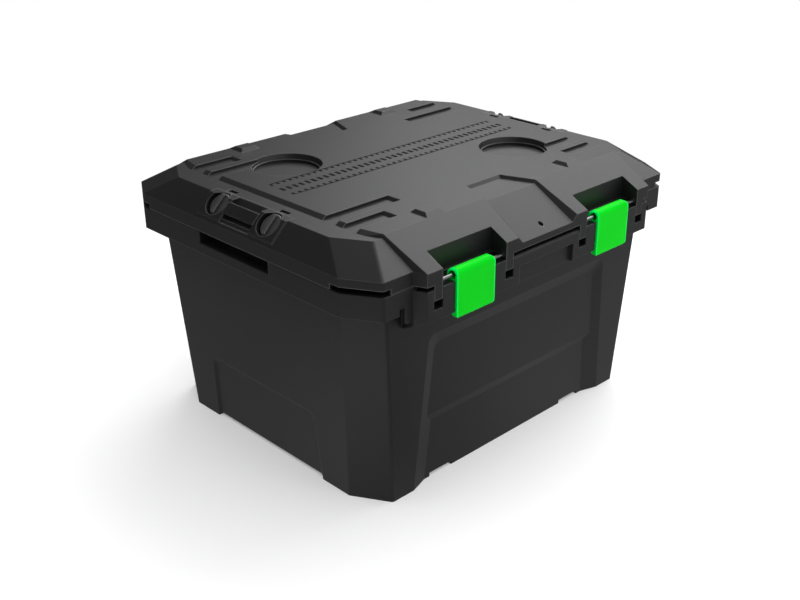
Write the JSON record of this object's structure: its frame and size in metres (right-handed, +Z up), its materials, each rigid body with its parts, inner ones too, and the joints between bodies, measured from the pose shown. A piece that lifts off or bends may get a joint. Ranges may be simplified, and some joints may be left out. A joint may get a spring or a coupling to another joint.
{
  "type": "storage case",
  "caption": "Rugged lidded storage case with a hinged lid, flip-up latches, side tie-down bars with quarter-turn knobs and cup recesses in the lid.",
  "frame": {"origin": "centre of the box round the case, on the ground it stands on", "axes": "+X to the right seen from the latch side, +Y towards the hinges, +Z up"},
  "size_m": [0.57, 0.5092, 0.349],
  "materials": {
    "body_plastic": "fine moulded grain",
    "fitting_plastic": "satin",
    "latch_plastic": "semi-gloss green",
    "pin_steel": "bright",
    "seal_rubber": "soft matt"
  },
  "bodies": {
    "tub_body": {"tub": "body_plastic", "hinge_pin_left": "pin_steel", "hinge_pin_right": "pin_steel"},
    "lid_body": {"lid": "body_plastic", "lid_seal": "seal_rubber", "latch_pin_left": "pin_steel", "latch_pin_right": "pin_steel", "tie_down_left": "fitting_plastic", "tie_down_right": "fitting_plastic", "knob_ring_left_front": "seal_rubber", "knob_ring_left_rear": "seal_rubber", "knob_ring_right_front": "seal_rubber", "knob_ring_right_rear": "seal_rubber"},
    "latch_left_body": {"latch_left": "latch_plastic"},
    "knob_left_front_body": {"knob_left_front": "fitting_plastic", "knob_screw_left_front": "pin_steel"},
    "knob_left_rear_body": {"knob_left_rear": "fitting_plastic", "knob_screw_left_rear": "pin_steel"},
    "latch_right_body": {"latch_right": "latch_plastic"},
    "knob_right_front_body": {"knob_right_front": "fitting_plastic", "knob_screw_right_front": "pin_steel"},
    "knob_right_rear_body": {"knob_right_rear": "fitting_plastic", "knob_screw_right_rear": "pin_steel"}
  },
  "joints": [
    {"name": "lid_hinge", "type": "hinge", "parent": "tub_body", "child": "lid_body", "pos_m": [0, 0.2476, 0.2962], "axis": [-1, 0, 0], "range_deg": [0, 105]},
    {"name": "latch_left_hinge", "type": "hinge", "parent": "lid_body", "child": "latch_left_body", "pos_m": [-0.13, -0.2464, 0.2965], "axis": [-1, 0, 0], "range_deg": [0, 180]},
    {"name": "knob_left_front_turn", "type": "hinge", "parent": "lid_body", "child": "knob_left_front_body", "pos_m": [-0.2656, -0.0505, 0.33271], "axis": [-0.6941, 0, 0.7198], "range_deg": [0, 90]},
    {"name": "knob_left_rear_turn", "type": "hinge", "parent": "lid_body", "child": "knob_left_rear_body", "pos_m": [-0.2656, 0.0505, 0.33271], "axis": [-0.6941, 0, 0.7198], "range_deg": [0, 90]},
    {"name": "latch_right_hinge", "type": "hinge", "parent": "lid_body", "child": "latch_right_body", "pos_m": [0.13, -0.2464, 0.2965], "axis": [-1, 0, 0], "range_deg": [0, 180]},
    {"name": "knob_right_front_turn", "type": "hinge", "parent": "lid_body", "child": "knob_right_front_body", "pos_m": [0.2656, -0.0505, 0.33271], "axis": [0.6941, 0, 0.7198], "range_deg": [0, 90]},
    {"name": "knob_right_rear_turn", "type": "hinge", "parent": "lid_body", "child": "knob_right_rear_body", "pos_m": [0.2656, 0.0505, 0.33271], "axis": [0.6941, 0, 0.7198], "range_deg": [0, 90]}
  ]
}
